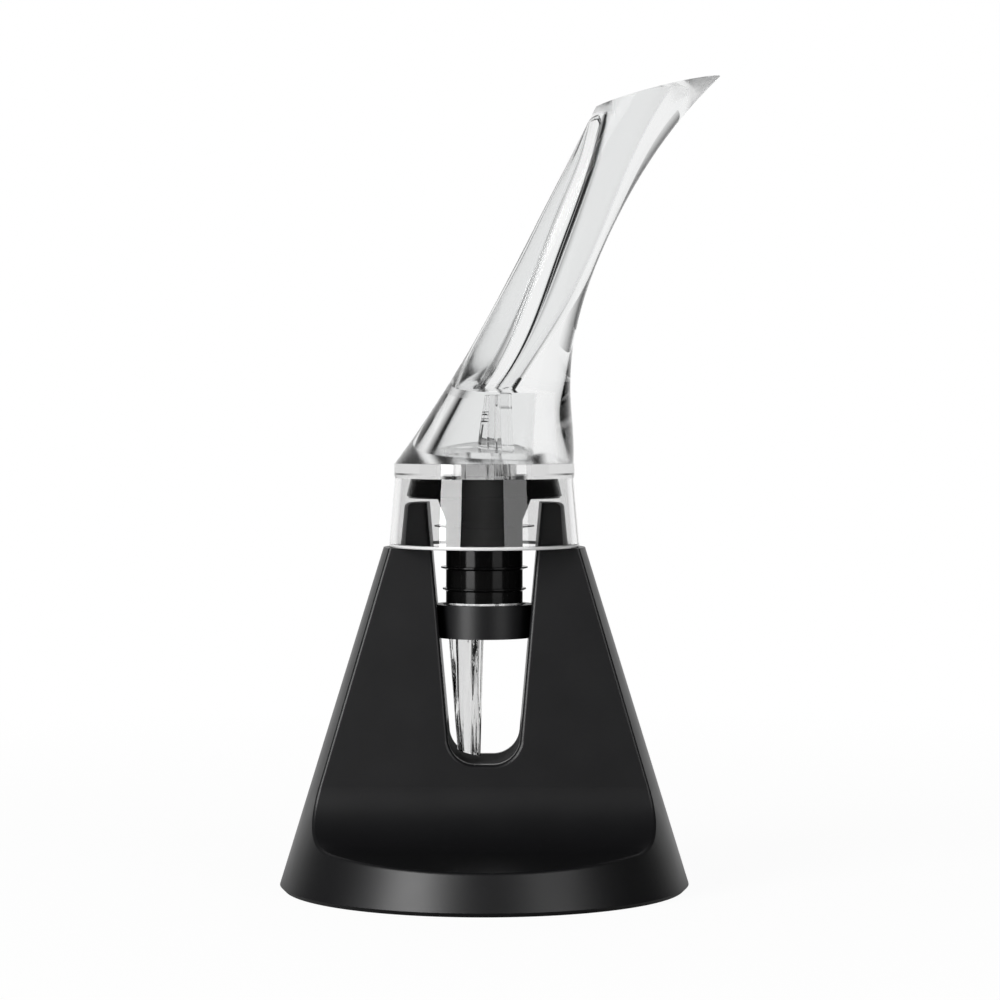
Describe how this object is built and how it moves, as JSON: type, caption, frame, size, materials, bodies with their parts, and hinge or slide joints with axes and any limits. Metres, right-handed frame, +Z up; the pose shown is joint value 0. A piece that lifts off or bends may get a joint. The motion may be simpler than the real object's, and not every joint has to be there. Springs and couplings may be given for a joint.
{
  "type": "wine aerator pourer on a display stand",
  "caption": "Clear pouring spout with an aerating chamber, a rubber stopper and a drip skirt, standing in a slotted black cone.",
  "frame": {"origin": "the stand's axis at the floor", "axes": "+Z up, +X the way the spout leans, +Y to the rear; the stand's flat faces look along -Y and +Y"},
  "size_m": [0.1011, 0.0942, 0.1865],
  "materials": {
    "black_plastic": "satin moulded black plastic",
    "black_rubber": "smooth black rubber with a soft shine",
    "clear_acrylic": "polished clear acrylic"
  },
  "bodies": {
    "root": {"stand": "black_plastic", "skirt_cup": "clear_acrylic", "stopper": "black_rubber", "stem_tube": "clear_acrylic", "spout_body": "clear_acrylic", "venturi_core": "clear_acrylic"}
  },
  "joints": []
}
